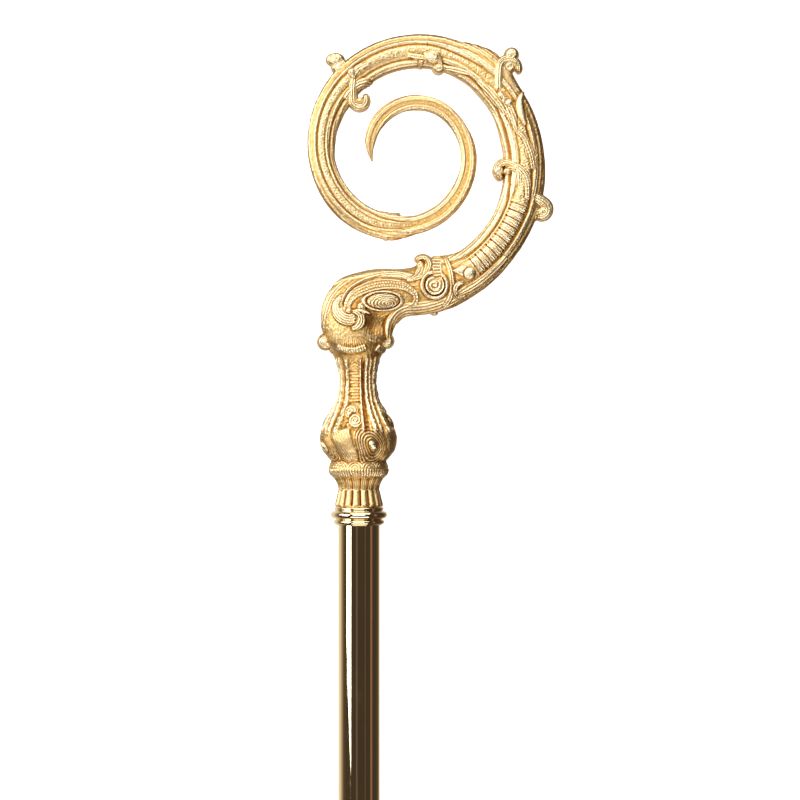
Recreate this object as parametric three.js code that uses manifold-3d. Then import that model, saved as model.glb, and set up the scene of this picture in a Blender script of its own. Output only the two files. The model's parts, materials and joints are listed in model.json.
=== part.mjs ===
// A bishop's crosier in gilded brass, lying on its back as a loose staff lies.
// The cast head is a baluster knop that bends over an elbow into a carved volute, with leaf curls on its rim.
// A turned collar joins it to a polished tube in three lengths, with plain rings between them and a foot.
// Millimetres. Each piece is made upright, with the staff along Z, the collar's underside at Z 0, the volute in
// the XZ plane and the front facing -Y. The whole is then laid down with its front up and its head towards +Y.
import * as THREE from "three";
import { mergeVertices } from "three/addons/utils/BufferGeometryUtils.js";
import Module from "manifold-3d";

// Staff
const TUBE_RADIUS = 12.5;
const TUBE_WALL = 1.2;
const SECTION_LENGTH = 470; // from one joint to the next
const SECTION_COUNT = 3;
const CLEARANCE = 0.3; // between a piece and its neighbour
const ROUND_SIDES = 20;

// Collar, rings and foot
const COLLAR_HEIGHT = 11;
const SOCKET_DEPTH = 6; // how far the tube goes up into the collar
const RING_HALF_HEIGHT = 8;
const RING_RADIUS = 14.6;
const RING_WEB = 1.5; // half the wall between the two tube ends inside a ring
const FOOT_LENGTH = 40;
const FOOT_SOCKET = 12;
const FOOT_END_RADIUS = 8;

// Head: the centreline of the crook as tangent arcs, each [radius, sweep in degrees], left turns positive
const CROOK_START = [-2.4, 109];
const CROOK_HEADING = 90;
const CROOK_ARCS = [[31, -87], [77, 71], [72, 69], [59, 83], [54, 86], [44, 63], [40.5, 108], [28.5, 163]];
// The crook's section along that line: [distance, outer half width, inner half width, half depth]
const CROOK_STATIONS = [
  [0, 19.5, 18, 16.5], [6, 20.4, 21.2, 17], [12, 20.8, 24.4, 17.5], [18, 20.4, 25.6, 16.8],
  [24, 19.2, 24, 15.8], [30, 18.1, 19.6, 14.8], [36, 17.3, 16.6, 13.8], [44, 15.4, 13.9, 12.8],
  [54, 14, 14.1, 11.8], [62, 15.2, 16.6, 11.4], [72, 15.8, 17.1, 11.3], [80, 14.9, 14.6, 11],
  [90, 14.3, 12, 10.7], [105, 13.3, 11.8, 10.3], [125, 12.4, 11.5, 9.9], [150, 12.2, 12.2, 9.6],
  [180, 11.1, 12.7, 9.4], [203, 11, 11.2, 9], [216, 12.4, 11.2, 8.9], [227, 15, 10.4, 8.8],
  [235, 12.8, 10.5, 8.6], [245, 9.6, 10.4, 8.4], [275, 9, 10.5, 8.1], [305, 9, 10.4, 7.8],
  [330, 8.6, 10.2, 7.4], [350, 8.6, 8.2, 7], [368, 8.8, 6.4, 6.7], [392, 9.2, 6.8, 6.4],
  [415, 8.2, 7.1, 6.1], [428, 8.2, 7.8, 6], [440, 5.1, 5.8, 4.8], [475, 4.5, 5.8, 4.2],
  [500, 4.6, 4.5, 3.8], [525, 2.6, 5.6, 3.5], [550, 3.6, 5.5, 3.2], [575, 4.6, 3.9, 2.8],
  [590, 3.7, 2.4, 2], [602, 0.4, 0.3, 0.5],
];
const CROOK_TURN_STEP = 15; // the most degrees in one step along the crook
const CROOK_STEP = 12.5; // and the longest step
// One face of the section from its outer to its inner edge, as shares of the half width and the half depth:
// round rim, rib, groove, raised middle band, groove, rib, round rim
const MOULDING = [
  [0.9, 0.52], [0.7, 0.84], [0.54, 0.66], [0.34, 0.94], [-0.34, 0.94], [-0.54, 0.66], [-0.7, 0.84], [-0.9, 0.52],
];
const MOULDING_STARTS = 40; // the elbow is a plain oval up to here
const MOULDING_FULL = 75;

// Knop: the outline of the turned form, [height, radius]
const KNOP_OUTLINE = [
  [11.3, 14.4], [16, 13.2], [21, 12.1], [24.5, 12.7], [27.5, 14.4], [30.5, 16.5], [33.5, 17.2], [36.5, 16.8],
  [38.5, 16.4], [41, 18.2], [44.5, 21.4], [48.5, 23.1], [52.5, 23.7], [57, 22.6], [63, 19.2], [69, 15.7],
  [76, 12.6], [85, 11.1], [93, 11.6], [99, 13.5], [103, 15.6], [108, 17.4], [114, 17],
];
const KNOP_SIDES = 32; // two to each of the 16 reeds at its foot
const KNOP_TURN = -5; // degrees that its four faces are turned about the staff
const KNOP_LEAN = 0.6; // degrees that it leans away from the volute
const REED_TOP = 27;
const CUP_TOP = 38.5;
const BULGE_TOP = 60;
const WAIST_TOP = 101;
const REED_DEPTH = 1.3;
const CUP_DEPTH = 1.1;
const BULGE_DEPTH = 1.6;
const WAIST_DEPTH = 1.3;
// One quarter of the waist, side by side: ladder panel, panel, rail, flute, rib, flute, rail, panel
const WAIST_QUARTER = [-0.7, -0.5, 0.9, -0.8, 0.7, -0.8, 0.9, -0.5];

// Leaf curls: each is a tapering scroll along its own arcs, with [half width, half depth] from root to tip
const CURLS = [
  { name: "stem ear", start: [26.5, 148.6], heading: -8, arcs: [[16, 60], [2.9, 225]],
    girth: [[1.6, 11.5], [2, 11.5], [2.2, 11], [2, 10.5], [1.4, 10]] },
  { name: "right leaf", start: [101.6, 197], heading: -8, arcs: [[20, -30], [4.2, -170]],
    girth: [[4, 8.5], [3.6, 8], [3.3, 7.5], [2.8, 7], [1.8, 6]] },
  { name: "inner right scroll", start: [96, 203], heading: 92, arcs: [[11.5, 85], [4.3, 215]],
    girth: [[3, 9.6], [3.2, 9.6], [3.2, 9], [2.8, 8], [1.6, 7]] },
  { name: "crown leaf", start: [83.4, 267], heading: 98, arcs: [[70, -9], [5, -190], [12, -12]],
    girth: [[4, 9.6], [4.2, 9.4], [4.2, 9], [3.8, 8.4], [2, 7]] },
  { name: "left bud", start: [-4, 267.4], heading: 137, arcs: [[200, 4]],
    girth: [[8.6, 7.4], [7.8, 7.2], [6.4, 6.8], [5.2, 6.4], [4.6, 6]] },
  { name: "inner left hook", start: [-3.6, 266], heading: 262, arcs: [[70, 8], [3.4, 235]],
    girth: [[3.4, 8.6], [3, 8.2], [2.6, 7.4], [2.4, 7], [1.6, 6.4]] },
  { name: "eye frame", start: [-9, 133], heading: 80, arcs: [[14, -55], [36, -50], [5, -190]],
    girth: [[1.6, 14], [1.9, 15], [1.9, 15.2], [1.8, 14.6], [1.4, 14.4]] },
  { name: "calyx tip", start: [12, 186.5], heading: -12, arcs: [[40, 8], [14, 30]],
    girth: [[2.4, 4], [2.2, 4], [1.8, 3.6], [1.3, 3], [0.5, 1.4]] },
];
const CURL_SIDES = 8;
const CURL_TURN_STEP = 36;
const CURL_STEP = 20;
const JOIN_TOLERANCE = 0.1; // slivers thinner than this are tidied away where the head's forms meet

// Studs: round ornaments that stand proud of both faces, [x, z, half width, half height, half depth]
const STUDS = {
  medallion: [45.9, 142.2, 6.6, 6.6, 12.9],
  ovalEye: [13.2, 134.6, 9, 4.2, 16.6],
  bulb: [65.6, 149, 4.6, 4, 12.2],
  flower: [42.6, 279, 4.8, 4.8, 9.8],
  drop: [46.6, 272.4, 3.4, 3, 7],
  boss: [-4.6, 270, 3.4, 3.4, 9.2],
  budHead: [-15, 277.6, 4.9, 4.9, 6.6],
  hookEye: [1.2, 253, 3.4, 3.4, 5],
  nub: [45, 127.4, 2.6, 2, 4],
  calyxFold: [16.2, 172.6, 2.6, 2.2, 5.6],
  leftRoll: [-20.2, 109.8, 5.2, 5.4, 8],
  rightRoll: [16.6, 110.4, 4.8, 5, 8],
};
const STUD_SIDES = 8;

// Rungs across the middle of the band where it rises on the right
const RUNG_COUNT = 9;
const RUNGS_START = 92; // distance along the crook
const RUNG_PITCH = 5.2;
const RUNG_SIZE = [2.8, 8.6, 22.4]; // along the band, across it and through it

// How the crosier lies: turned about the staff until the volute touches, and tipped until the foot does
const LYING_ROLL = 8.31;
const LYING_PITCH = 0.397;

const GOLD_CAST = new THREE.MeshStandardMaterial({ color: 0xd9a441, roughness: 0.34, metalness: 1 });
const GOLD_POLISHED = new THREE.MeshStandardMaterial({ color: 0xdcb25a, roughness: 0.08, metalness: 1 });

const rad = THREE.MathUtils.degToRad;
const wasm = await Module();
wasm.setup();

// A line in the crook's plane, made of arcs that run smoothly into each other
class ArcPath {
  constructor(start, heading, arcs) {
    this.arcs = [];
    this.length = 0;
    let [x, z] = start;
    let h = rad(heading);
    for (const [radius, sweep] of arcs) {
      const bend = Math.sign(sweep) / radius;
      this.arcs.push({ x, z, h, bend, from: this.length });
      const turned = h + rad(sweep);
      x += (Math.sin(turned) - Math.sin(h)) / bend;
      z -= (Math.cos(turned) - Math.cos(h)) / bend;
      h = turned;
      this.length += radius * Math.abs(rad(sweep));
    }
  }
  // The point at a distance along the line, with its heading
  at(distance) {
    const arc = this.arcs.findLast((a) => a.from <= distance) ?? this.arcs[0];
    const h = arc.h + arc.bend * (distance - arc.from);
    const x = arc.x + (Math.sin(h) - Math.sin(arc.h)) / arc.bend;
    const z = arc.z - (Math.cos(h) - Math.cos(arc.h)) / arc.bend;
    return { x, z, h };
  }
  // Distances along the line that split each arc into equal steps of a limited turn and length
  stops(turnStep, lengthStep) {
    const ends = [...this.arcs.slice(1).map((arc) => arc.from), this.length];
    return this.arcs.reduce((list, { from, bend }, i) => {
      const span = ends[i] - from;
      const count = Math.ceil(Math.max((span * Math.abs(bend)) / rad(turnStep), span / lengthStep));
      for (let k = 1; k <= count; k++) list.push(from + (span * k) / count);
      return list;
    }, [0]);
  }
  // A point beside the line: across is to its right, which is a volute's outer side, and back is +Y
  beside(distance, across, back) {
    const { x, z, h } = this.at(distance);
    return new THREE.Vector3(x + across * Math.sin(h), back, z - across * Math.cos(h));
  }
}

// Values between the rows of a table whose first column is a distance
function smoothTable(rows) {
  const width = rows[0].length - 1;
  const interpolant = new THREE.CubicInterpolant(
    rows.map((row) => row[0]),
    rows.flatMap((row) => row.slice(1)),
    width,
    new Float64Array(width),
  );
  const last = rows.at(-1)[0];
  return (distance) => [...interpolant.evaluate(THREE.MathUtils.clamp(distance, rows[0][0], last))];
}

// A closed skin: a capped cylinder's grid, with each vertex put where place(step, side, reach) says.
// reach is 1 on the skin and 0 at the middle of the two end caps.
function skin(sides, steps, place) {
  const grid = new THREE.CylinderGeometry(1, 1, 1, sides, steps);
  grid.deleteAttribute("normal");
  grid.deleteAttribute("uv");
  const position = grid.getAttribute("position");
  for (let i = 0; i < position.count; i++) {
    const [x, y, z] = [position.getX(i), position.getY(i), position.getZ(i)];
    const side = Math.round((Math.atan2(x, z) / (2 * Math.PI)) * sides + sides) % sides;
    const p = place(Math.round((y + 0.5) * steps), side, Math.round(Math.hypot(x, z)));
    position.setXYZ(i, p.x, p.y, p.z);
  }
  return grid;
}

function solidOf(geometry) {
  const bare = geometry.clone();
  bare.deleteAttribute("normal");
  bare.deleteAttribute("uv");
  const merged = mergeVertices(bare, 1e-3);
  return new wasm.Manifold(
    new wasm.Mesh({
      numProp: 3,
      vertProperties: merged.getAttribute("position").array,
      triVerts: new Uint32Array(merged.index.array),
    }),
  );
}

function geometryOf(solid) {
  const mesh = solid.getMesh();
  const geometry = new THREE.BufferGeometry();
  geometry.setAttribute("position", new THREE.BufferAttribute(mesh.vertProperties, 3));
  geometry.setIndex(new THREE.BufferAttribute(mesh.triVerts, 1));
  return geometry;
}

// The swept band of the elbow, the volute and the thin inner tail
function crookBand() {
  const path = new ArcPath(CROOK_START, CROOK_HEADING, CROOK_ARCS);
  const sizes = smoothTable(CROOK_STATIONS);
  const face = MOULDING.length;
  const sides = 2 * (face + 1);
  const stops = path.stops(CROOK_TURN_STEP, CROOK_STEP);
  return skin(sides, stops.length - 1, (step, side, reach) => {
    const s = stops[step];
    const [outer, inner, depth] = sizes(s);
    const onBack = side <= face + 1;
    const row = onBack ? side - 1 : sides - side - 1;
    const onEdge = row < 0 || row >= face;
    const [across, rise] = onEdge ? [row < 0 ? 1 : -1, 0] : MOULDING[row];
    const oval = Math.sqrt(1 - across * across);
    const share = THREE.MathUtils.smoothstep(s, MOULDING_STARTS, MOULDING_FULL);
    const back = depth * THREE.MathUtils.lerp(oval, rise, share) * (onBack ? 1 : -1);
    return path.beside(s, reach * across * (across > 0 ? outer : inner), reach * back);
  });
}

// How far the knop's carving stands out from its turned outline, at a height and on one of its sides
function knopRelief(z, side) {
  const lobe = (count) => Math.abs(Math.cos((Math.PI * count * side) / KNOP_SIDES));
  if (z < REED_TOP) return REED_DEPTH * (side % 2 ? -0.5 : 0.5);
  if (z < CUP_TOP) return CUP_DEPTH * (lobe(8) - 0.5);
  if (z < BULGE_TOP) return BULGE_DEPTH * (lobe(4) - 0.5);
  return z < WAIST_TOP ? WAIST_DEPTH * WAIST_QUARTER[side % WAIST_QUARTER.length] : 0;
}

function knop() {
  const turn = rad(KNOP_TURN);
  const foot = KNOP_OUTLINE[0][0];
  const upright = skin(KNOP_SIDES, KNOP_OUTLINE.length - 1, (step, side, reach) => {
    const [z, radius] = KNOP_OUTLINE[step];
    const angle = (2 * Math.PI * side) / KNOP_SIDES + turn;
    const r = reach * (radius + knopRelief(z, side));
    return new THREE.Vector3(r * Math.cos(angle), r * Math.sin(angle), z - foot);
  });
  return upright.rotateY(-rad(KNOP_LEAN)).translate(0, 0, foot);
}

function curl({ start, heading, arcs, girth }) {
  const path = new ArcPath(start, heading, arcs);
  const stops = path.stops(CURL_TURN_STEP, CURL_STEP);
  const sizes = smoothTable(girth.map((size, i) => [(path.length * i) / (girth.length - 1), ...size]));
  return skin(CURL_SIDES, stops.length - 1, (step, side, reach) => {
    const [width, depth] = sizes(stops[step]);
    const angle = (2 * Math.PI * side) / CURL_SIDES;
    return path.beside(stops[step], reach * width * Math.cos(angle), reach * depth * Math.sin(angle));
  });
}

// A drum across the head with softly domed ends
function stud([x, z, halfWidth, halfHeight, halfDepth]) {
  const profile = [[0, -1], [0.62, -0.95], [1, -0.8], [1, 0.8], [0.62, 0.95], [0, 1]];
  const drum = new THREE.LatheGeometry(profile.map(([r, y]) => new THREE.Vector2(r, y)), STUD_SIDES);
  return drum.scale(halfWidth, halfDepth, halfHeight).translate(x, 0, z);
}

function rung(index) {
  const { x, z, h } = new ArcPath(CROOK_START, CROOK_HEADING, CROOK_ARCS).at(RUNGS_START + RUNG_PITCH * index);
  const [along, across, through] = RUNG_SIZE;
  return new THREE.BoxGeometry(along, through, across).rotateY(-h).translate(x, 0, z);
}

function headGeometry() {
  const parts = [crookBand(), knop(), ...CURLS.map(curl), ...Object.values(STUDS).map(stud)];
  for (let i = 0; i < RUNG_COUNT; i++) parts.push(rung(i));
  return geometryOf(wasm.Manifold.union(parts.map(solidOf)).simplify(JOIN_TOLERANCE));
}

// A turned piece: its profile is [radius, height], from the axis at the bottom to the axis at the top
function turned(profile) {
  const points = profile.map(([r, z]) => new THREE.Vector2(r, z));
  return new THREE.LatheGeometry(points, ROUND_SIDES).rotateX(Math.PI / 2);
}

function collarGeometry() {
  const bore = TUBE_RADIUS + CLEARANCE;
  return turned([
    [0, SOCKET_DEPTH], [bore, SOCKET_DEPTH], [bore, 0], [14.2, 0], [15.4, 1.2], [15.4, 2.4], [14.4, 3.6],
    [16, 4.4], [17, 6.2], [16, 8.2], [14.9, 9.2], [14.9, COLLAR_HEIGHT], [0, COLLAR_HEIGHT],
  ]);
}

function ringGeometry() {
  const bore = TUBE_RADIUS + CLEARANCE;
  const half = [[bore, RING_WEB], [bore, RING_HALF_HEIGHT], [13.6, RING_HALF_HEIGHT], [RING_RADIUS, 4]];
  const lower = half.map(([r, z]) => [r, -z]);
  return turned([[0, -RING_WEB], ...lower, ...half.reverse(), [0, RING_WEB]]);
}

function footGeometry() {
  const bore = TUBE_RADIUS + CLEARANCE;
  const mouth = FOOT_LENGTH - FOOT_SOCKET;
  return turned([
    [0, 0], [FOOT_END_RADIUS, 0], [10.6, 1.8], [11.6, 5], [12.4, 20], [14.4, 25], [14.4, 30],
    [13.6, 32.4], [13.6, FOOT_LENGTH], [bore, FOOT_LENGTH], [bore, mouth], [0, mouth],
  ]);
}

function tubeGeometry(bottom, top) {
  const outline = new THREE.Shape().absarc(0, 0, TUBE_RADIUS, 0, 2 * Math.PI);
  outline.holes.push(new THREE.Path().absarc(0, 0, TUBE_RADIUS - TUBE_WALL, 0, 2 * Math.PI, true));
  const options = { depth: top - bottom, curveSegments: ROUND_SIDES, bevelEnabled: false };
  return new THREE.ExtrudeGeometry(outline, options).translate(0, 0, bottom);
}

const upright = new THREE.Group();

function add(name, geometry, material, z = 0) {
  const mesh = new THREE.Mesh(geometry, material);
  mesh.name = name;
  mesh.position.z = z;
  upright.add(mesh);
}

add("head", headGeometry(), GOLD_CAST);
add("collar", collarGeometry(), GOLD_POLISHED);
const sectionNames = ["upper", "middle", "lower"];
for (let i = 0; i < SECTION_COUNT; i++) {
  const joint = -SECTION_LENGTH * i;
  const next = joint - SECTION_LENGTH;
  const top = i === 0 ? SOCKET_DEPTH - CLEARANCE : joint - RING_WEB - CLEARANCE;
  const last = i === SECTION_COUNT - 1;
  const bottom = next + (last ? CLEARANCE : RING_WEB + CLEARANCE);
  add("staff_" + sectionNames[i], tubeGeometry(bottom, top), GOLD_POLISHED);
  if (!last) add("ring_" + sectionNames[i], ringGeometry(), GOLD_POLISHED, next);
}
const footBottom = -SECTION_LENGTH * SECTION_COUNT - (FOOT_LENGTH - FOOT_SOCKET);
add("foot", footGeometry(), GOLD_POLISHED, footBottom);

// Laid on its back, turned about the staff, tipped, and set with the middle of its box's underside at the origin
upright.rotation.x = -Math.PI / 2;
const rolled = new THREE.Group().add(upright);
rolled.rotation.y = rad(LYING_ROLL);
const tipped = new THREE.Group().add(rolled);
tipped.rotation.x = rad(LYING_PITCH);
const crosier = new THREE.Group().add(tipped);
const box = new THREE.Box3().setFromObject(crosier, true);
const middle = box.getCenter(new THREE.Vector3());
tipped.position.set(-middle.x, -middle.y, -box.min.z);

export default crosier;
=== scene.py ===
# %% [markdown]
# # A bishop's crosier in gilded brass
# The staff lies on a pale floor with its front up. Its head is one brass casting, chased and gilded: a
# baluster knop, an elbow, and a crook that winds into a volute. Below it come a turned collar and a
# mirror-polished tube. The CAD model gives sizes and places. This lesson carves the fine relief that makes
# the casting look worked.

# %% Load the frame
import json

import bpy
import numpy as np
from mathutils import Matrix


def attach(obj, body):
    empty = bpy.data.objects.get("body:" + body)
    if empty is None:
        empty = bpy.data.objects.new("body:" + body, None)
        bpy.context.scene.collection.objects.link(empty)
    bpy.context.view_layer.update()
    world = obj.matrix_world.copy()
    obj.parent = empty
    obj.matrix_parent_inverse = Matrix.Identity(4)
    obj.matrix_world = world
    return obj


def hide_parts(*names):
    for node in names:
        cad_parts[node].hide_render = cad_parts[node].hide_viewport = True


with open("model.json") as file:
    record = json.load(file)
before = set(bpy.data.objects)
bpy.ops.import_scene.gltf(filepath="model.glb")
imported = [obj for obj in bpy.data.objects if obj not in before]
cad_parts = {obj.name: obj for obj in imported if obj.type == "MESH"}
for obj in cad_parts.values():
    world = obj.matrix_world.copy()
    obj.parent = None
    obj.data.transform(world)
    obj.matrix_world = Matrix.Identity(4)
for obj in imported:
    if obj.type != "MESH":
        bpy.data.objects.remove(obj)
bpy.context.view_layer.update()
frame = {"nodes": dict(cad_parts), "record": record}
print("CAD nodes:", sorted(frame["nodes"]))

# %% [markdown]
# ## From the bench to the floor
# A crosier is easiest to describe upright, in millimetres: the staff runs along Z, the crook's plane is XZ
# and the front faces -Y. The real one lies on its back, leaning a little so that the knop, the crook and the
# foot touch the floor. One matrix turns every upright point into its place, and the foot's mount in the
# record anchors it.

# %% Lay the crosier down
ROLL, PITCH = np.radians(8.31), np.radians(0.397)  # the lean about the staff, and the tip towards the head
FOOT_Z = -1438.0  # the foot's flat end, when upright


def turning(axis, angle):
    """A 3x3 rotation by an angle about one axis of the frame."""
    return np.array(Matrix.Rotation(angle, 3, axis))


LAY = turning("X", PITCH) @ turning("Y", ROLL) @ turning("X", -np.pi / 2)
foot_end = np.array(frame["record"]["mounts"][0]["pos_m"])
SHIFT = foot_end - LAY @ np.array([0, 0, FOOT_Z / 1000])


def lay(points):
    """Upright millimetres to metres on the floor: turn by LAY, scale by a thousandth, then shift."""
    return points @ LAY.T / 1000 + SHIFT


print("the collar's underside is at", lay(np.zeros(3)).round(4))

# %% [markdown]
# ## Meshes from grids
# Every new piece is a surface on a grid: one parameter runs along the piece and the other runs round it.
# numpy works out all the points at once. The grid is closed round its columns, and a pole closes each end, so
# that the mesh is a true solid. Several grids can make one mesh. Numbers per point, such as how high a crest
# stands over its neighbours, go along as attributes for the materials; that one darkens the gold in the
# hollows as painted shade.


# %% Grid helper
def closed_grid(rows, cols, first):
    """Faces of a tube with poles: quads between neighbours on the grid, and a fan of triangles at each
    end."""
    i, j = np.meshgrid(np.arange(rows - 1), np.arange(cols), indexing="ij")
    nxt = (j + 1) % cols
    quads = np.stack([i * cols + j, i * cols + nxt, (i + 1) * cols + nxt, (i + 1) * cols + j],
                     -1).reshape(-1, 4)
    ring = np.arange(cols)
    after = (ring + 1) % cols
    low, high, last = rows * cols, rows * cols + 1, (rows - 1) * cols
    fans = np.concatenate([
        np.stack([np.full(cols, low), after, ring], -1),
        np.stack([np.full(cols, high), last + ring, last + after], -1),
    ])
    return quads + first, fans + first


def solid(name, grids):
    """One mesh from a list of (points, numbers): points are rows x columns x 3 in upright mm, numbers are
    arrays."""
    points, quads, fans, numbers, count = [], [], [], {}, 0
    for grid, extra in grids:
        rows, cols = grid.shape[:2]
        poles = np.stack([grid[0].mean(0), grid[-1].mean(0)])
        cloud = np.concatenate([grid.reshape(-1, 3), poles])
        four, three = closed_grid(rows, cols, count)
        corners = cloud[(three - count)]
        inner = cloud[(four - count)]
        volume = np.einsum("ij,ij->i", corners[:, 0], np.cross(corners[:, 1], corners[:, 2])).sum()
        for a, b, c in ((0, 1, 2), (0, 2, 3)):
            volume += np.einsum("ij,ij->i", inner[:, a], np.cross(inner[:, b], inner[:, c])).sum()
        if volume < 0:
            four, three = four[:, ::-1], three[:, ::-1]
        points.append(cloud)
        quads.append(four)
        fans.append(three)
        for key, values in extra.items():
            values = np.broadcast_to(values, (rows, cols))
            ends = [values[0].mean(), values[-1].mean()]
            numbers.setdefault(key, []).append(np.concatenate([values.ravel(), ends]))
        count += len(cloud)
    points = np.concatenate(points)
    quads, fans = np.concatenate(quads), np.concatenate(fans)
    mesh = bpy.data.meshes.new(name)
    mesh.vertices.add(len(points))
    mesh.vertices.foreach_set("co", lay(points).ravel())
    mesh.loops.add(quads.size + fans.size)
    mesh.loops.foreach_set("vertex_index", np.concatenate([quads.ravel(), fans.ravel()]))
    mesh.polygons.add(len(quads) + len(fans))
    starts = np.concatenate([np.arange(len(quads)) * 4, quads.size + np.arange(len(fans)) * 3])
    mesh.polygons.foreach_set("loop_start", starts)
    mesh.update(calc_edges=True)
    mesh.shade_smooth()
    for key, values in numbers.items():
        mesh.attributes.new(key, "FLOAT", "POINT").data.foreach_set("value", np.concatenate(values))
    piece = bpy.data.objects.new(name, mesh)
    bpy.context.scene.collection.objects.link(piece)
    print(name, "has", 2 * len(quads) + len(fans), "triangles")
    return piece


# %% [markdown]
# ## The crook's line
# The crook is drawn as with a compass: an S at the elbow, and then a volute whose arcs get tighter and
# tighter. Each arc runs smoothly into the next one. The radii and turns were fitted to the real crook's
# outline by a separate program, and the half widths further down and the knop's outline were measured with
# one. A function gives the point and the heading at any distance along the line. The same function draws the
# leaf curls, which are small compass curves too.

# %% Arcs that run into each other
CROOK = ((-2.4, 109), 90, [(31, -87), (77, 71), (72, 69), (59, 83), (54, 86), (44, 63), (40.5, 108), (28.5,
                                                                                                      163)])


def arc_line(spec, distance):
    """Point and heading at distances along tangent arcs: each is its start, plus the chord that its turn
    has swept."""
    (x, z), heading, arcs = spec
    radius, sweep = np.array(arcs, float).T
    turn = np.radians(sweep)
    bend = np.sign(turn) / radius
    heads = np.radians(heading) + np.concatenate([[0], np.cumsum(turn)])
    starts = np.concatenate([[0], np.cumsum(radius * abs(turn))])
    xs = x + np.concatenate([[0], np.cumsum(np.diff(np.sin(heads)) / bend)])
    zs = z - np.concatenate([[0], np.cumsum(np.diff(np.cos(heads)) / bend)])
    i = np.clip(np.searchsorted(starts, distance, "right") - 1, 0, len(arcs) - 1)
    h = heads[i] + bend[i] * (distance - starts[i])
    return xs[i] + (np.sin(h) - np.sin(heads[i])) / bend[i], zs[i] - (np.cos(h) - np.cos(heads[i])) / bend[i], h


def arc_length(spec):
    """Sum of radius times turn over the arcs."""
    return sum(radius * abs(np.radians(sweep)) for radius, sweep in spec[2])


def near_line(spec, x, z, step=0.35):
    """For points in the crook's plane: distance along a line, and how far to its right, from the nearest
    sample."""
    s = np.arange(0, arc_length(spec), step)
    px, pz, h = arc_line(spec, s)
    shape, x, z = x.shape, x.ravel(), z.ravel()
    k = np.argmin((x[:, None] - px) ** 2 + (z[:, None] - pz) ** 2, axis=1)
    dx, dz = x - px[k], z - pz[k]
    along = s[k] + dx * np.cos(h[k]) + dz * np.sin(h[k])
    return along.reshape(shape), (dx * np.sin(h[k]) - dz * np.cos(h[k])).reshape(shape)


CROOK_END = arc_length(CROOK)
print("the crook's line is", round(CROOK_END), "mm long")

# %% [markdown]
# ## Tools of the chaser
# A chaser's work is made of a few marks: a rounded cord, a comb of fine lines, a ladder of cross lines, rows
# of beads, a boss with rings, and a field matted with a punch. Each is a small height function here, in
# millimetres, and the heights are laid over one another before the surface is pushed out.


# %% Marks
def hump(u):
    """A rounded bump: 0 at u of -1 and 1, 1 at the middle, with steep sides, as the top half of a cord
    has."""
    return np.sqrt(np.clip(1 - u * u, 0, 1))


def ease(value, low, high):
    """Smooth step from 0 at low to 1 at high."""
    t = np.clip((value - low) / (high - low), 0, 1)
    return t * t * (3 - 2 * t)


def window(value, low, high, soft):
    """1 between low and high, easing to 0 over soft outside them."""
    return ease(value, low - soft, low) * (1 - ease(value, high, high + soft))


def matting(a, b, size, seed):
    """Punched dots: random heights on a lattice of the given size, blended smoothly between lattice
    points."""
    table = np.random.default_rng(seed).uniform(-1, 1, (97, 89))
    u, v = a / size, b / size
    i, j = np.floor(u).astype(int), np.floor(v).astype(int)
    fu, fv = ease(u - i, 0, 1), ease(v - j, 0, 1)
    near = table[i % 97, j % 89] * (1 - fv) + table[i % 97, (j + 1) % 89] * fv
    far = table[(i + 1) % 97, j % 89] * (1 - fv) + table[(i + 1) % 97, (j + 1) % 89] * fv
    return near * (1 - fu) + far * fu


def waves(value, pitch):
    """Fine parallel cords of the given pitch, between -1 and 1: a rectified sine, so that the grooves are
    sharp."""
    return 2 * abs(np.sin(np.pi * value / pitch)) ** 0.7 - 1


def beads(a, b, pitch):
    """A row of round beads along a, the middle of the row at b of 0: the product of two rounded waves."""
    return abs(np.sin(np.pi * a / pitch)) * hump(np.clip(2 * b / pitch, -1, 1))


# The materials darken the hollows by this number as painted shade.
def cavity(height):
    """How far each point stands above the mean of the points around it, in mm: the columns join up, the
    rows don't."""
    mean = height.copy()
    for _ in range(2):
        mean = sum(np.roll(mean, k, 1) for k in range(-3, 4)) / 7
        padded = np.concatenate([mean[:1]] * 3 + [mean] + [mean[-1:]] * 3)
        mean = sum(padded[k:k + len(mean)] for k in range(7)) / 7
    return height - mean


print("a comb of 1.4 mm pitch has", round(10 / 1.4, 1), "lines to a centimetre")

# %% [markdown]
# ## The crook's section
# The band of the crook is a flattened bar with rounded rims. Its half widths and half depth change along the
# line: wide at the elbow and the cartouche, slim in the inner tail, and drawn to a point at the tip.

# %% Half widths and half depth along the crook
STATIONS = np.array([
    [-5, 15, 14, 13], [1, 19.5, 18, 16.3], [6, 20.4, 21.2, 17], [12, 20.8, 24.4, 17.5], [18, 20.4, 25.6,
                                                                                         16.8],
    [24, 19.2, 24, 15.8], [30, 18.1, 19.6, 14.8], [36, 17.3, 16.6, 13.8], [44, 15.4, 13.9, 12.8],
    [54, 14, 14.1, 11.8], [62, 15.2, 16.6, 11.4], [72, 15.8, 17.1, 11.3], [80, 14.9, 14.6, 11],
    [90, 14.3, 12, 10.7], [105, 13.3, 11.8, 10.3], [125, 12.4, 11.5, 9.9], [150, 12.2, 12.2, 9.6],
    [180, 11.1, 12.7, 9.4], [203, 11, 11.2, 9], [216, 12.4, 11.2, 8.9], [227, 15, 10.4, 8.8],
    [235, 12.8, 10.5, 8.6], [245, 9.6, 10.4, 8.4], [275, 9, 10.5, 8.1], [305, 9, 10.4, 7.8],
    [330, 8.6, 10.2, 7.4], [350, 8.6, 8.2, 7], [368, 8.8, 6.4, 6.7], [392, 9.2, 6.8, 6.4],
    [415, 8.2, 7.1, 6.1], [428, 8.2, 7.8, 6], [440, 5.1, 5.8, 4.8], [475, 4.5, 5.8, 4.2],
    [500, 4.6, 4.5, 3.8], [525, 2.6, 5.6, 3.5], [550, 3.6, 5.5, 3.2], [575, 4.6, 3.9, 2.8],
    [590, 3.7, 2.4, 2], [601.5, 0.4, 0.3, 0.5],
])


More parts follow.
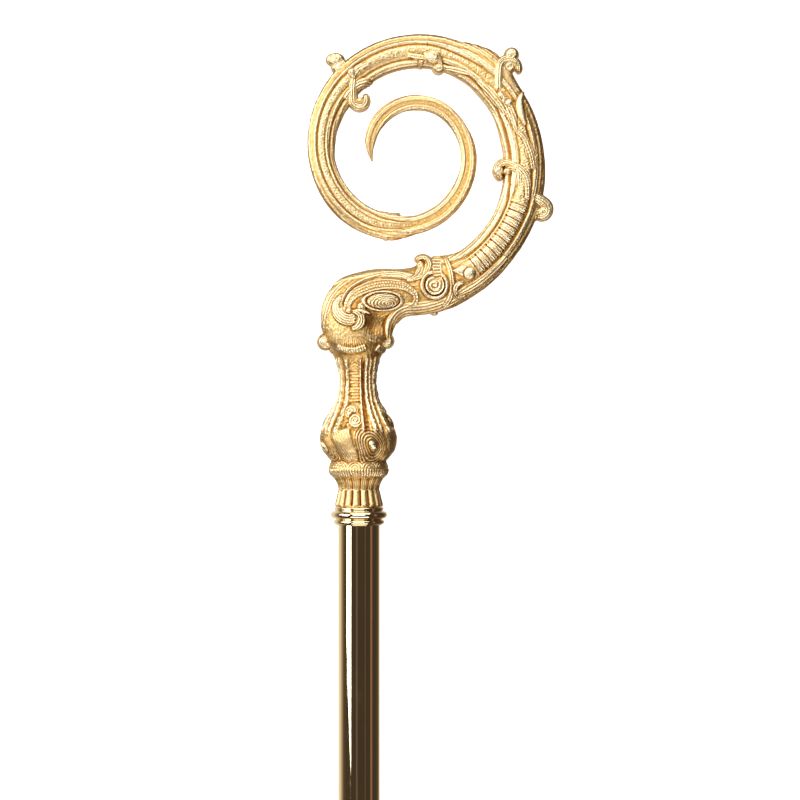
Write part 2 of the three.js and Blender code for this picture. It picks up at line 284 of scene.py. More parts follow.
def smooth_table(table, at, blur=2.0):
    """Columns of a table at new places: straight lines between the rows, then averaged over a few
    millimetres."""
    spread = np.linspace(-1, 1, 9)[:, None] * blur
    return [np.interp(at + spread, table[:, 0], table[:, c]).mean(0) for c in range(1, table.shape[1])]


# The strands of the band from its inner rim to its outer rim: rail, groove, rib, field, groove, rib, rail.
# Each row: distance, the seven crowns' heights in mm, then the six lines between them as shares of the half
# width.
STRANDS = np.array([
    [0, 0, 0, 0, 0, 0, 0, 0, -0.66, -0.56, -0.42, 0.42, 0.52, 0.74],
    [60, 0, 0, 0, 0, 0, 0, 0, -0.66, -0.56, -0.42, 0.42, 0.52, 0.74],
    [84, 1.1, 0, 0.3, 0.2, 0, 0.5, 0.8, -0.66, -0.58, -0.42, 0.42, 0.5, 0.74],
    [92, 1.3, 0, 0.4, 1.1, 0, 0.7, 0.8, -0.62, -0.54, -0.44, 0.46, 0.54, 0.74],
    [138, 1.3, 0, 0.4, 1.1, 0, 0.7, 0.8, -0.62, -0.54, -0.44, 0.46, 0.54, 0.74],
    [152, 1, 0, 1, 0.9, 0, 0.7, 0.7, -0.78, -0.68, -0.28, 0.3, 0.38, 0.66],
    [194, 1, 0, 1, 0.9, 0, 0.7, 0.7, -0.78, -0.68, -0.28, 0.3, 0.38, 0.66],
    [203, 0.9, 0, 0.7, 0.3, 0, 0.4, 0.5, -0.72, -0.64, -0.3, 0.3, 0.38, 0.62],
    [226, 0.9, 0, 0.7, 0.3, 0, 0.6, 0.5, -0.72, -0.64, -0.3, 0.1, 0.18, 0.5],
    [240, 1, 0, 0.8, 0.6, 0, 0.9, 0.7, -0.7, -0.62, -0.24, 0.05, 0.13, 0.55],
    [262, 0.9, 0, 0.4, 0.8, 0, 0.8, 0.7, -0.6, -0.5, -0.38, 0.24, 0.33, 0.6],
    [304, 0.9, 0, 0.4, 0.8, 0, 0.8, 0.7, -0.6, -0.5, -0.38, 0.24, 0.33, 0.6],
    [332, 0.8, 0, 0.7, 0.8, 0, 0.7, 0.8, -0.64, -0.54, -0.24, 0.28, 0.37, 0.64],
    [414, 0.8, 0, 0.7, 0.8, 0, 0.7, 0.8, -0.64, -0.54, -0.24, 0.28, 0.37, 0.64],
    [440, 0.8, -0.2, -0.1, -0.2, -0.2, -0.1, 0.8, -0.42, -0.36, -0.25, 0.05, 0.1, 0.2],
    [602, 0.8, -0.2, -0.1, -0.2, -0.2, -0.1, 0.8, -0.42, -0.36, -0.25, 0.05, 0.1, 0.2],
])


def strands(s, v, across):
    """Height of the moulding: in each strand a crown times a hump across it, with the strand's fine marks.
    The rails have lines, the grooves beads, and the middle field has matting or, past the cartouche,
    pillows."""
    values = smooth_table(STRANDS, s[:, 0], 3.0)
    crowns, lines = values[:7], [np.full(len(s), -1.0), *values[7:], np.full(len(s), 1.0)]
    height, flat = np.zeros_like(v), s + 0 * v
    live = ease(flat, 66, 92)
    dots, grit = matting(flat, across + 40, 0.95, 3), matting(flat + 31, across + 55, 0.75, 4)
    row = np.floor(across / 1.5 + 20)
    pits = beads(flat + 0.9 * row, (across + 30) % 1.5 - 0.75, 1.8)
    pillows = window(flat, 92.5, 138, 1.5)
    for k, crown in enumerate(crowns):
        low, high = lines[k][:, None], lines[k + 1][:, None]
        inside = (v >= low) & (v <= high)
        u = (2 * v - low - high) / (high - low)
        bump = hump(u)
        mark = (0.3 * waves(across, 1.6) + 0.05 * dots, -0.3 * (1 - beads(flat, 0 * u, 1.7)),
                0.26 * waves(across, 1.6) + 0.08 * dots, (0.2 * dots + 0.34 * pits - 0.25) * (1 - pillows),
                -0.3 * (1 - beads(flat, 0 * u, 1.7)), 0.26 * waves(across, 1.6) + 0.1 * dots,
                0.26 * waves(across, 1.6) + 0.14 * dots)[k]
        if k == 3:
            cell = (flat - 92.5) / 4.6 % 1 * 2 - 1
            pillow = 1.1 * hump(cell) - 0.9 + 0.4 * waves(flat - 92.5, 1.53) * (abs(u) < 0.8)
            pillow = pillow - 0.9 * (abs(u) > 0.8) * (1 - beads(flat - 92.5, 0 * u, 2.3))
            mark = mark + pillows * pillow
        height += inside * (crown[:, None] * bump + live * mark * bump**0.5)
    return height + 0.07 * grit * ease(flat, 40, 90)


print("the band is", STATIONS[:, 1:3].sum(1).max(), "mm wide at its widest")

# %% [markdown]
# ## Carving on the crook
# The elbow is the richest part: a C-scroll frames an oval eye, a fan of hair-fine leaf curls under it, and a
# round medallion follows. Combed leaves and curls go on round the volute. These are drawn in the crook's
# plane and stand out of both of its faces. A mark is laid along its own arcs: near_line gives each point's
# place along the mark and its distance from the mark's middle. Real combs are cut about 1 mm apart or finer.
# They are drawn
# about 1.5 mm apart here, because anything finer would be lost between the points of the mesh.

# %% Marks laid along small arcs
# Each mark is (kind, line, half widths from start to end, height, pitch). A cord has no pitch, so its 0 isn't
# used.
CARVING = [
    ("comb", ((18.6, 111), 90, [(30, -20), (12, -70), (50, 24), (60, 14)]), (2, 3.4, 4.2, 4.2, 3.6, 2.4), 1,
     1.5),
    ("comb", ((-21.6, 115), 88, [(60, -16), (26, -46)]), (1.2, 2.6, 2.6, 1), 0.5, 1.5),
    ("cord", ((-17, 142.8), 38, [(36, -32), (90, -20)]), (0.8, 2.6, 2.9, 2.7, 2.2), 1.6, 0),
    ("comb", ((-9.6, 136.2), 222, [(8, 60), (7, 150), (5, 40)]), (1.6, 3.8, 4.2, 3.8, 2), 2.6, 1.5),
    ("comb", ((-2.4, 127.4), -12, [(4.6, -100), (6, -50)]), (1.6, 2.8, 3, 1.6), 2.2, 1.5),
    ("cord", ((-1.4, 128.6), -6, [(24, -20)]), (0.6, 1.5, 0.5), 2.6, 0),
    ("bead", ((-7, 129), 84, [(13.5, -56), (38, -38), (15, -38), (4.4, -120)]), (1.6, 2.7, 2.9, 2.6, 1.8, 1),
     1.5, 1.6),
    ("cord", ((-10.2, 130), 88, [(16.5, -56), (41, -38), (17, -32)]), (0.5, 0.8, 0.8, 0.8, 0.5), 1.5, 0),
    ("comb", ((29.6, 146.2), 14, [(16, 12), (9, 62), (5.2, 150)]), (0.8, 2.4, 3.6, 3.8, 2.6), 1.6, 1.5),
    ("ladder", ((46.8, 161.6), -94, [(60, 8), (60, 4)]), (3, 2.8, 2.6), 0.7, 1.9),
    ("comb", ((51.4, 160.4), -62, [(40, -14), (30, -20), (14, -44)]), (1.2, 1.9, 2.1, 1.9, 1.2), 1.3, 1.5),
    ("cord", ((57, 152), 4, [(40, -4), (18, 10)]), (0.8, 1.6, 2.6, 3.4, 3.2), 1.4, 0),
    ("comb", ((61.8, 145), 180, [(4.4, 90), (3.8, 120)]), (1, 1.9, 1.7, 1), 1.8, 1.5),
    ("comb", ((59, 138), 22, [(60, 16), (90, 12)]), (0.8, 2.2, 2.6, 2), 0.9, 1.5),
    ("comb", ((37.4, 272.4), 118, [(6.4, -150), (5.4, -120)]), (1, 2, 2.2, 1.6, 0.8), 1.6, 1.4),
    ("comb", ((30, 281), -4, [(80, -6)]), (1.2, 2.4, 1.6), 1.2, 1.4),
    ("comb", ((100.4, 196), 84, [(40, 12), (12, 60), (5, 150)]), (1.6, 2.6, 2.8, 2.4, 1.2), 1.1, 1.4),
    ("comb", ((104, 214), 98, [(60, 14), (16, 40)]), (1.4, 3, 2, 1), 0.8, 1.4),
    ("cord", ((99, 240), 116, [(30, -22), (14, -30)]), (1, 2.6, 2.4, 1.2), 1.8, 0),
    ("comb", ((94, 236), 104, [(70, 20)]), (1, 3.4, 3.4, 1), 1.4, 1.5),
    ("comb", ((88, 246), 122, [(90, 16)]), (1, 2.8, 3, 1), 1.2, 1.5),
    ("comb", ((66, 270), 156, [(50, 16)]), (0.8, 2.6, 1), 1.2, 1.4),
    ("comb", ((-8, 256), 60, [(20, -40), (7, -60)]), (1.2, 2.6, 2.8, 1.8), 1.6, 1.4),
    ("comb", ((6, 276), 200, [(30, 10), (10, 40)]), (0.8, 2.2, 2.4, 1.4), 1.6, 1.4),
]


def laid(kind, spec, widths, height, pitch, x, z, out):
    """Lays one mark over the heights so far: a hump across it that swells and thins along it, cut with fine
    lines."""
    total = arc_length(spec)
    px, pz, _ = arc_line(spec, np.linspace(0, total, 60))
    reach = max(widths) + 1
    near = (x > px.min() - reach) & (x < px.max() + reach) & (z > pz.min() - reach) & (z < pz.max() + reach)
    if not near.any():
        return
    along, off = near_line(spec, x[near], z[near])
    share = np.clip(along / total, 0, 1)
    half = np.interp(share, np.linspace(0, 1, len(widths)), widths)
    beyond = np.maximum(-along, along - total).clip(0)
    u = np.hypot(off, beyond) / half
    body = hump(u) * height
    if kind == "comb":
        body = body * 0.8 + 0.6 * waves(off, pitch) * (1 - u**6).clip(0, 1)
    if kind == "ladder":
        body = height * (0.6 + 0.7 * waves(along, pitch) * (abs(u) < 0.8) + 0.6 * (abs(u) >= 0.8))
    if kind == "bead":
        rows = np.maximum(beads(along, off - 0.85, pitch), beads(along + pitch / 2, off + 0.85, pitch))
        body = height * (0.35 + 0.65 * rows * (abs(u) < 0.7) + 0.6 * hump((abs(u) - 0.86) / 0.14))
    out[near] = np.where(u < 1, body, out[near])


def eye(x, z, centre, size, tilt):
    """An oval eye: a raised rim, a moat inside it, and nested ovals that crowd to one side, from one
    stretched radius."""
    dx, dz = x - centre[0], z - centre[1]
    dx, dz = dx * np.cos(tilt) + dz * np.sin(tilt), dz * np.cos(tilt) - dx * np.sin(tilt)
    rho = np.hypot(dx / size[0], dz / size[1])
    inner = np.hypot((dx - 2.8) / size[0], (dz + 1.4) / size[1])
    lens = 1.5 * hump(rho / 0.9) + 0.5 * waves(inner * 7.4, 1.4) * (rho < 0.84)
    rim = 1.1 * hump((rho - 1.08) / 0.12)
    return np.where(rho < 0.9, lens, rim - 0.4 * (rho < 0.98)), rho < 1.2


def medallion(x, z, centre):
    """A snail: a spiral cord that winds out from the middle of a low dome, with a ring round it."""
    r = np.hypot(x - centre[0], z - centre[1])
    angle = np.arctan2(z - centre[1], x - centre[0]) / (2 * np.pi)
    snail = 0.9 + 0.8 * hump(r / 6.2) + 0.62 * waves(r - angle * 2.3, 2.3)
    ring = 1.9 * hump((r - 7.4) / 1.15)
    return np.where(r < 5.7, snail, ring), r < 8.5


def bulb(x, z, centre, radius, height):
    """A plain dome with a sharp foot."""
    r = np.hypot(x - centre[0], z - centre[1]) / radius
    return height * hump(r), r < 1


def carving(x, z, ground):
    """All marks of the crook, laid over the ground in order, with the hollow under the eye first."""
    hollow = np.exp(-((((x - 12.2) / 7.4) ** 2 + ((z - 121) / 6.6) ** 2) ** 1.5))
    out = ground - 4.2 * hollow
    for mark in CARVING[:6]:
        laid(*mark, x, z, out)
    for heights, where in (eye(x, z, (14.5, 134), (10.6, 5.2), 0.03), medallion(x, z, (45.2, 143.6))):
        out[where] = heights[where]
    for mark in CARVING[6:]:
        laid(*mark, x, z, out)
    for heights, where in (bulb(x, z, (66.2, 150.6), 3.8, 2.3), bulb(x, z, (-5.6, 128), 2, 2.2),
                           bulb(x, z, (89.6, 252.4), 2.4, 1.8)):
        out[where] = heights[where]
    return out


print(len(CARVING), "marks on each face of the crook")


# %% [markdown]
# ## Skin of the crook
# The marks push the skin of the band outward. Few points would smear the fine lines, and one mesh of so many
# points would be too heavy to handle, so the crook is made in five lengths that overlap by 0.2 mm. They are
# still one casting. Points lie closest together at the elbow, where the carving is finest.


# %% Skin of the crook
def crook_skin(s, count):
    """Rows along the line and columns round the section: a squared ellipse, pushed out along its normal by
    the marks."""
    s = s[:, None]
    t = 2 * np.pi * (np.arange(count) + 0.5) / count
    x, z, h = arc_line(CROOK, s[:, 0].clip(0))
    z = z + np.minimum(s[:, 0], 0)
    outer, inner, depth = smooth_table(STATIONS, s[:, 0])
    v = np.cos(t)[None, :] + 0 * s
    lift = np.sign(np.sin(t)) * abs(np.sin(t)) ** 0.72 + 0 * s
    half = np.where(v > 0, outer[:, None], inner[:, None])
    across = v * half
    nx, ny = v * depth[:, None], np.sin(t) * half
    nx, ny = nx / np.hypot(nx, ny), ny / np.hypot(nx, ny)
    side, flat = abs(lift), s + 0 * v
    px = x[:, None] + across * np.sin(h)[:, None]
    pz = z[:, None] - across * np.cos(h)[:, None]
    height = strands(s, v, across)
    ground = height + (0.08 * waves(across, 1.7) + 0.15 * matting(px + 40, pz, 1, 8)) * (1 - ease(flat, 60,
                                                                                                  84))
    height = height + (carving(px, pz, ground) - height) * ease(side, 0.12, 0.4)
    push = height * np.minimum(1, depth[:, None] / 5) * ease(side, -0.1, 0.25)
    relief = cavity(push)
    px = px + push * nx * np.sin(h)[:, None]
    pz = pz - push * nx * np.cos(h)[:, None]
    grid = np.stack([px, depth[:, None] * lift + push * ny, pz], -1)
    # Painted shade and highlight in the colour number: lower in the hollows and on the band's outer side, which
    # turns away from the light, and a little higher on raised carving.
    rim = 0.22 * (1 - ease(side, 0.35, 0.85)) * ease(v, -0.4, 0.6)
    return grid, {"crest_and_painted_shade": 0.5 + relief * 0.9 - rim + 0.05 * np.clip(push, -1.5, 2.5)}


bend = np.concatenate([np.linspace(-5, 3, 16), np.linspace(3, 46.2, 176)[1:]])
elbow = solid("crook_elbow", [crook_skin(bend, 350)])
cartouche = solid("crook_cartouche", [crook_skin(np.linspace(46, 92.2, 160), 260)])
right = solid("crook_right", [crook_skin(np.linspace(92, 262.2, 460), 164)])
left = solid("crook_left", [crook_skin(np.linspace(262, 432.2, 390), 150)])
tail = solid("crook_tail", [crook_skin(np.linspace(432, 601.4, 300), 100)])

# %% [markdown]
# ## Leaf curls and bosses
# Leaves roll off the rim of the crook as small scrolls, as if cut from thick strip and curled round a rod.
# Each is a flattened bar along its own arcs. Buds and flowers are domed drums that stand out of both faces.

# %% Curls: (line, half widths, half depths)
CURLS = [
    (((27, 147.4), -4, [(40, 10), (9.5, 70), (4.4, 170)]), (1.2, 2.4, 2.7, 2.7, 2.2), (11.4, 12, 12, 11.6,
                                                                                       10.6)),
    (((102, 196.4), -8, [(20, -30), (4.4, -170)]), (4.4, 4.2, 3.8, 3.2, 2.4), (8.5, 8.2, 7.6, 7, 6)),
    (((99, 184), 28, [(40, -20)]), (5, 4.4, 3), (7.4, 6.8, 5.4), 0.1),
    (((96.2, 200), 88, [(100, 5), (9, 80), (5, 170)]), (1.8, 2.6, 2.9, 2.9, 2.8, 2.4), (10, 10.4, 10, 9.4,
                                                                                        8.6, 7.6)),
    (((83.8, 261), 93, [(90, -8), (5.8, -165), (4, -50)]), (3.8, 3.6, 3.5, 3.4, 3, 2.4), (9.9, 9.9, 9.6, 9.2,
                                                                                          8.6, 7.6)),
    (((86, 274), -66, [(120, 12)]), (3, 4, 4, 3.4, 1.6), (8, 8, 7.6, 7.2, 6.6), 0.06),
    (((-3, 266.6), 262, [(70, 10), (4, 235)]), (3.2, 3.3, 3.2, 3, 2.4), (9, 8.6, 8, 7.4, 6.8)),
    (((12, 186.5), -12, [(40, 8), (14, 30)]), (2.4, 2.2, 1.8, 1.3, 0.5), (4, 4, 3.6, 3, 1.4)),
]
BOSSES = [
    (44, 280, 6, 5.8, 10.8), (47.6, 273.4, 4, 3.6, 9.4), (-4.2, 270.6, 3.3, 4.2, 10.2), (-11.6, 274.8, 5.6,
                                                                                         5.4, 6.4),
    (-14.2, 278.8, 6, 4.4, 7), (0.6, 254.2, 2.2, 2.2, 8.4), (45, 127.4, 2.6, 2, 4), (16.2, 172.6, 2.6, 2.2,
                                                                                     5.6),
    (-20.2, 109.8, 5.2, 5.4, 8), (16.6, 110.4, 4.8, 5, 8), (83.4, 212, 3.7, 3.9, 8.8), (88.6, 211.6, 3, 3,
                                                                                        9.6),
    (110.6, 187.6, 3.9, 3.9, 7), (105, 190, 5, 6, 6.2), (91.4, 281.8, 4.7, 4.7, 9.4), (90, 275, 4, 5, 7.8),
    (36.8, 155.2, 2.6, 4.2, 11.2),
]


def curl(spec, widths, depths, lines=0.4):
    """Rows along the arcs, columns round a squared ellipse, cut with comb lines along it, rounded off at
    its end."""
    total = arc_length(spec)
    s = np.linspace(0, total, max(30, int(total / 0.34)))
    share = np.linspace(0, 1, len(widths))
    tip = hump(np.clip(1 - (total - s) / widths[-1], 0, 1) * 0.999)
    width, depth = np.interp(s / total, share, widths) * tip, np.interp(s / total, share,
                                                                        depths) * (0.5 + 0.5 * tip)
    t = 2 * np.pi * np.arange(64) / 64
    x, z, h = arc_line(spec, s)
    c, y = np.cos(t), np.sign(np.sin(t)) * abs(np.sin(t)) ** 0.6
    across = c * width[:, None]
    line = (lines * waves(across, 1.5) * ease(abs(y), 0.4, 0.9) + 0.1 * matting(s[:, None] + 9, across + 20,
                                                                                0.9, 6))
    line = line * tip[:, None]
    grid = np.stack([
        x[:, None] + across * np.sin(h)[:, None],
        y * depth[:, None] + np.sign(y) * line,
        z[:, None] - across * np.cos(h)[:, None],
    ], -1)
    # Painted shade in the colour number: darker in the grooves between the comb lines and on the curl's sides,
    # lighter on its faces.
    return grid, {"crest_and_painted_shade": 0.5 + 0.9 * line + 0.15 * (abs(y) - 0.7)}


def dome(x, z, wide, high, deep):
    """A drum with domed faces: rows go from pole to pole through the head, and the radius follows a squared
    ellipse."""
    a = np.linspace(-np.pi / 2, np.pi / 2, 40)[1:-1]
    t = 2 * np.pi * np.arange(48) / 48
    radius = np.cos(a)[:, None] ** 0.5
    y = np.sin(a)[:, None] * deep + 0 * t
    px, pz = x + wide * radius * np.cos(t), z + high * radius * np.sin(t)
    swirl = 0.3 * waves(radius * wide - t / (2 * np.pi) * 1.6, 1.6) + 0.12 * matting(px + 50, pz, 1.1, 5)
    swirl = swirl * (1 - radius**8)
    # Painted shade in the colour number: darker in the swirl's grooves and towards the drum's side.
    return np.stack([px, y + np.sign(y) * swirl, pz], -1), {"crest_and_painted_shade": 0.6 + 0.8 * swirl - 0.2 * radius**4}


scrolls = solid("leaf_scrolls", [curl(*one) for one in CURLS] + [dome(*one) for one in BOSSES])

# %% [markdown]
# ## The knop
# The knop is a baluster that could come off a lathe, but it is cast with four faces and chased: reeds at the
# foot, a toothed band, a bulge of combed shells with round eyes, a waist with a ladder panel between ribs,
# and a fluted fan under the elbow. Its radius is a function of the height and of the angle round the staff.

# %% Knop outline and relief
KNOP = np.array([
    [11.3, 14.4], [16, 13.2], [21, 12.1], [24.5, 12.7], [27.5, 14.4], [30.5, 16.5], [33.5, 17.2], [36.5,
                                                                                                   16.8],
    [38.5, 16.4], [41, 18.2], [44.5, 21.4], [48.5, 23.1], [52.5, 23.7], [57, 22.6], [63, 19.2], [69, 15.7],
    [76, 12.6], [85, 11.1], [93, 11.6], [99, 13.5], [103, 15.6], [108, 17.4], [114, 17],
])
# The front panel is turned a little about the staff, in degrees, and the knop leans a little.
FACE_TURN, KNOP_LEAN = -6.0, np.radians(0.6)


def knop_relief(z, face, radius):
    """Heights on the knop: face is the angle in degrees from the middle of the nearest of its four panels."""
    arc = np.radians(face) * radius  # mm round the knop from the panel's middle
    reed = 2 * ((face + 102) / 22.5 % 1) - 1
    height = 2.5 * (hump(reed * 1.04) - 0.8) * window(z, 12.6, 20.4, 1.3)
    height = height + (1.3 * (hump(reed) - 0.8) + 0.25 * waves(face, 5.625)) * window(z, 22.2, 28, 1)
    height = height + 1.1 * hump(np.clip((z - 33) / 5, -1, 1)) + 0.45 * waves(face, 5.625) * window(z, 29.6,
                                                                                                    33.4, 0.7)
    petal = np.hypot(np.radians((face + 45) % 30 - 15) * radius, (z - 34.6) * 1.2)
    height = height + (0.45 * waves(petal, 1.7) - 0.2) * window(z, 35.2, 38.6, 0.8)
    # the bulge: a plump lobe on each face, and upright combs that bend round the eyes between the faces
    sway = face + 6 * np.sin(np.radians((z - 48) * 10)) * window(z, 38, 60, 3)
    side = (sway - 30 + 45) % 90 - 45
    rho = np.hypot(np.radians(side) * radius, (z - 47.5) * 0.8)
    bulge = window(z, 40, 57, 3)
    lobe = hump(np.clip((sway + 16) / 17, -1, 1))
    combed = window(rho, 3.6, 11, 1)
    height = height + bulge * (1.5 * lobe - 0.5 + 0.6 * waves(rho, 1.5) * combed * (lobe < 0.05))
    height = height + bulge * 0.26 * waves(sway + (z - 48) * 0.5, 4.5) * (lobe > 0.05) * ease(abs(z - 49),
                                                                                              -3, 6)
    height = np.where(rho < 2.9, np.maximum(height, 2 * hump(np.clip(rho / 2.9, 0, 1))), height)
    # the waist: ladder panel, rails, flutes and a pair of ribs that part as they run down on to the bulge
    waist, drop = window(z, 59, 97, 5), ease(72 - z, 0, 16)
    panel = window(face, -15, 13, 1.5) * window(z, 73.5, 98, 1)
    height = height - waist * 0.4 * panel + 0.36 * waves(z + 0.012 * face**2 * (z > 92), 1.8) * panel
    height = height + waist * 1.2 * hump(np.clip((face + 25 + 8 * drop) / 7, -1, 1))
    height = height + waist * 0.7 * hump(np.clip((face - 15.5) / 2.2, -1, 1))
    height = height - waist * 1.5 * hump(np.clip((face - 22) / 5, -1, 1))
    height = height - waist * 1.1 * hump(np.clip((face + 36.5) / 4, -1, 1))
    height = height + waist * 1.5 * hump(np.clip((face % 90 - 32.5 - 3 * drop) / 4.4, -1, 1))
    height = height + waist * 1.5 * hump(np.clip((face % 90 - 43.5 - 2 * drop) / 4.4, -1, 1))
    height = height + waist * 0.3 * matting(arc + 60, z, 1, 12) * (abs(abs(face) - 30) < 22)
    # a pair of combed curls below the panel
    for middle, level, size in ((-8, 68.4, 4.2), (2, 63.2, 4.4)):
        r = np.hypot(arc - np.radians(middle) * radius, z - level)
        turn = np.arctan2(z - level, arc - np.radians(middle) * radius) / (2 * np.pi)
        height = np.where(r < size, 1.3 * hump(np.clip(r / size, 0, 1)) + 0.45 * waves(r - turn * 1.7, 1.7),
                          height)
    # the fan under the elbow: rays from above it, and a beaded hem that hangs below them like a smile
    reach, ray = np.hypot(arc + 2, 125 - z), np.degrees(np.arctan2(arc + 2, 125 - z))
    fan = (abs(face) < 44) * window(abs(ray), 0, 25, 3)
    height = height + fan * (0.4 * waves(ray, 4.6) - 0.2) * window(reach, 13, 18.4, 1)
    height = height + fan * 1.3 * hump(np.clip((reach - 20.6) / 1.9, -1, 1)) * (0.75 + 0.25 * waves(ray, 4.6))
    return height + 0.12 * matting(arc + 60, z, 0.95, 9) * window(z, 38, 110, 2)


def knop_skin(rows, cols):
    """Rows up the staff and columns round it: radius is the turned outline plus the relief, then the knop
    leans."""
    z = np.linspace(KNOP[0, 0], KNOP[-1, 0], rows)[:, None]
    (turned,) = smooth_table(KNOP, z[:, 0], 1.2)
    angle = 2 * np.pi * np.arange(cols) / cols
    face = (np.degrees(angle) - FACE_TURN + 45) % 90 - 45
    relief = knop_relief(z + 0 * angle, face + 0 * z, turned[:, None] + 0 * angle)
    relief = relief - 0.35 * window(z, 22, 112, 1)
    radius = turned[:, None] + relief
    x, y = radius * np.sin(angle), -radius * np.cos(angle)
    up = z - KNOP[0, 0]
    grid = np.stack([x - np.sin(KNOP_LEAN) * up, y, KNOP[0, 0] + up * np.cos(KNOP_LEAN) + 0 * x], -1)
    # Painted shade in the colour number: darker where the relief sinks below its neighbours, a little lighter
    # where it stands high.
    return grid, {"crest_and_painted_shade": 0.45 + 0.8 * cavity(relief) + 0.06 * relief}


knop = solid("knop", [knop_skin(246, 330)])

# %% [markdown]
# ## Turned pieces
# The collar, the rings and the foot are turned from bar, and the tube is drawn. A lathe profile gives each:
# pairs of radius and height, carried round the staff. Curved parts of a profile are arcs, so that reflections
# run clean.


# %% Lathe work
def bead(radius, low, high, swell, steps=14):
    """Profile points of a half-round bead from low to high: the radius plus a hump of the given swell."""
    a = np.linspace(-np.pi / 2, np.pi / 2, steps)
    return [(radius + swell * np.cos(t), (low + high) / 2 + (high - low) / 2 * np.sin(t)) for t in a]


def lathe(profile, z=0.0, sides=160, step=None):
    """A closed profile carried round the staff: rows follow the profile, columns go round."""
    profile = np.array(profile, float)
    if step:
        along = np.concatenate([[0], np.cumsum(np.hypot(*np.diff(profile, axis=0).T))])
        at = np.unique(np.concatenate([along, np.arange(0, along[-1], step)]))
        profile = np.stack([np.interp(at, along, profile[:, k]) for k in (0, 1)], -1)
    angle = 2 * np.pi * np.arange(sides) / sides
    radius, height = profile[:, :1].clip(0.02), profile[:, 1:] + z
    grid = np.stack([radius * np.sin(angle), -radius * np.cos(angle), height + 0 * angle], -1)
    return grid, {"crest_and_painted_shade": 0.5 + 0 * height * angle}


TUBE, WALL, BORE = 12.5, 1.2, 12.8
SECTION, WEB, GAP = 470, 1.5, 0.3
collar = solid("collar_turned", [lathe([
    (0, 6), (BORE, 6), (BORE, 0), (13.6, 0), (14.2, 0.3), *bead(14, 0.5, 3.3, 1.4), (13.9, 3.6),
    *bead(14.4, 3.8, 8.6, 2.6), (14.5, 8.9), *bead(14.5, 9, 10.6, 0.4), (14.4, 11), (0, 11),
])])
ring_profile = [
    (0, -WEB), (BORE, -WEB), (BORE, -8), (13.4, -8), (13.6, -7.8), (13.6, -4.3), *bead(13.5, -4, 4, 1.1),
    (13.6, 4.3), (13.6, 7.8), (13.4, 8), (BORE, 8), (BORE, WEB), (0, WEB),
]
rings = {name: solid(name + "_turned", [lathe(ring_profile, -SECTION * (i + 1))])
         for i, name in enumerate(("ring_upper", "ring_middle"))}


def tube(bottom, top):
    """A drawn tube: up the outside wall and down the inside, with softened lips. The profile closes on
    itself."""
    return lathe([(TUBE - WALL, bottom), (TUBE - 0.2, bottom), (TUBE, bottom + 0.2), (TUBE, bottom + 1),
                  (TUBE, top - 1), (TUBE, top - 0.2), (TUBE - 0.2, top), (TUBE - WALL, top),
                  (TUBE - WALL, top - 1), (TUBE - WALL, bottom + 1), (TUBE - WALL, bottom)], step=30)


ends = [(-SECTION + WEB + GAP, 6 - GAP), (-2 * SECTION + WEB + GAP, -SECTION - WEB - GAP),
        (-3 * SECTION + GAP, -2 * SECTION - WEB - GAP)]
tubes = {name: solid(name + "_drawn", [tube(*span)])
         for name, span in zip(("staff_upper", "staff_middle", "staff_lower"), ends)}
foot = solid("foot_turned", [lathe([
    (0, 0), (8, 0), (9.6, 0.5), (10.6, 1.6), (11.2, 3.4), (11.7, 8), (12.2, 20), *bead(12.6, 22.5, 32, 1.8),
    (13.6, 32.6), (13.6, 39.7), (13.4, 40), (BORE, 40), (BORE, 28), (0, 28),
], z=FOOT_Z)])

# %% [markdown]
# ## Colours and nodes
# Colours are given as the sRGB hex values that a paint program shows. Blender shades in linear light, so one
# function turns them. Another small function adds a node with its settings and links.


# %% Colour and node helpers
def colour(code):
    """sRGB hex to linear: divide by 12.92 near black, else the 2.4 power curve."""
    srgb = np.array([int(code[i:i + 2], 16) for i in (1, 3, 5)]) / 255
    return (*np.where(srgb <= 0.04045, srgb / 12.92, ((srgb + 0.055) / 1.055) ** 2.4), 1.0)


def node(tree, kind, links=None, **settings):
    """Adds a node. A setting fills the socket of that name, or else the node's property; links fill
    sockets."""
    made = tree.nodes.new("ShaderNode" + kind)
    for key, value in settings.items():
        if key in made.inputs.keys():
            made.inputs[key].default_value = value
        elif key.startswith("at_"):
            made.inputs[int(key[3:])].default_value = value
        else:
            setattr(made, key, value)
    for key, source in (links or {}).items():
        tree.links.new(source, made.inputs[key])
    return made


def ramp(tree, value, stops):
    """A colour ramp through (position, colour) stops."""
    made = node(tree, "ValToRGB", {0: value})
    bar = made.color_ramp
    while len(bar.elements) < len(stops):
        bar.elements.new(0.5)
    for element, (place, shade) in zip(bar.elements, stops):
        element.position, element.color = place, shade
    return made.outputs[0]


def metal(name):
    """A metallic Principled material with its output, ready for colour, roughness and bump."""
    material = bpy.data.materials.new(name)
    material.use_nodes = True
    tree = material.node_tree
    tree.nodes.clear()
    shader = node(tree, "BsdfPrincipled", Metallic=1.0)
    node(tree, "OutputMaterial", {"Surface": shader.outputs[0]})
    return material, tree, shader


print("gold in linear light:", [round(c, 3) for c in colour("#F2CE82")[:3]])
